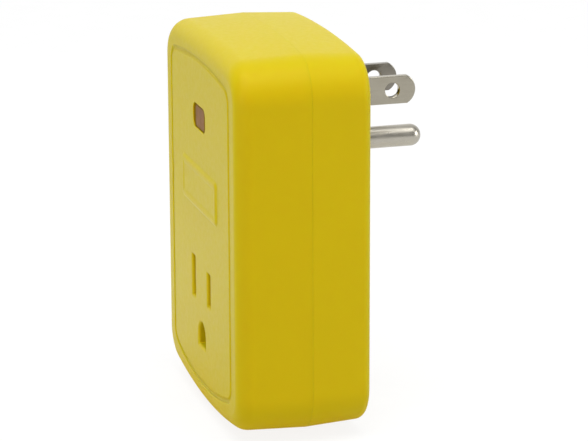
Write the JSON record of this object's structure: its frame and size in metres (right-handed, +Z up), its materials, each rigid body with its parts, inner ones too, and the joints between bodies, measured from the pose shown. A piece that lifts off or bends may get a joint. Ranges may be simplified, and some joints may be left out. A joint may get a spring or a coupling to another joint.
{
  "type": "outlet tester plug",
  "caption": "Plug-through outlet tester: moulded two-shell case with a grounded plug at the back, a grounded receptacle and an indicator window at the front.",
  "frame": {"origin": "on the flat rear face that rests against the wall plate, midway between the two blades", "axes": "+X to the right seen from the front, +Y into the wall along the blades, +Z up"},
  "size_m": [0.0608, 0.05, 0.0836],
  "materials": {
    "case": "satin moulded thermoplastic, yellow",
    "lens": "smoked amber moulded lens",
    "nickel": "nickel-plated brass, satin",
    "brass": "stamped spring brass",
    "screw": "zinc-plated steel",
    "black_insulator": "moulded insulator, black",
    "white_insulator": "moulded insulator, off-white",
    "board": "glass-epoxy board, green",
    "lamp_amber": "amber lamp body",
    "lamp_red": "red lamp body",
    "resistor": "lacquered resistor body",
    "diode": "moulded diode body",
    "wire_black": "insulated lead, black",
    "wire_white": "insulated lead, white",
    "wire_green": "insulated lead, green"
  },
  "bodies": {
    "root": {"front_shell": "case", "rear_shell": "case", "indicator_lens": "lens", "line_blade": "nickel", "neutral_blade": "nickel", "ground_pin": "nickel", "line_rivet": "brass", "neutral_rivet": "brass", "line_contact": "brass", "neutral_contact": "brass", "ground_contact": "brass", "case_screw_1": "screw", "case_screw_2": "screw", "case_screw_3": "screw", "case_screw_4": "screw", "clamp_screw_1": "screw", "clamp_screw_2": "screw", "board_screw_1": "screw", "board_screw_2": "screw", "blade_holder": "black_insulator", "blade_clamp": "black_insulator", "led_baffle": "black_insulator", "contact_housing": "white_insulator", "contact_cover": "white_insulator", "circuit_board": "board", "led_left": "lamp_amber", "led_centre": "lamp_amber", "led_right": "lamp_red", "resistor_1": "resistor", "resistor_2": "resistor", "resistor_3": "resistor", "diode_1": "diode", "diode_2": "diode", "diode_3": "diode", "line_lead": "wire_black", "neutral_lead": "wire_white", "ground_lead": "wire_green"}
  },
  "joints": []
}
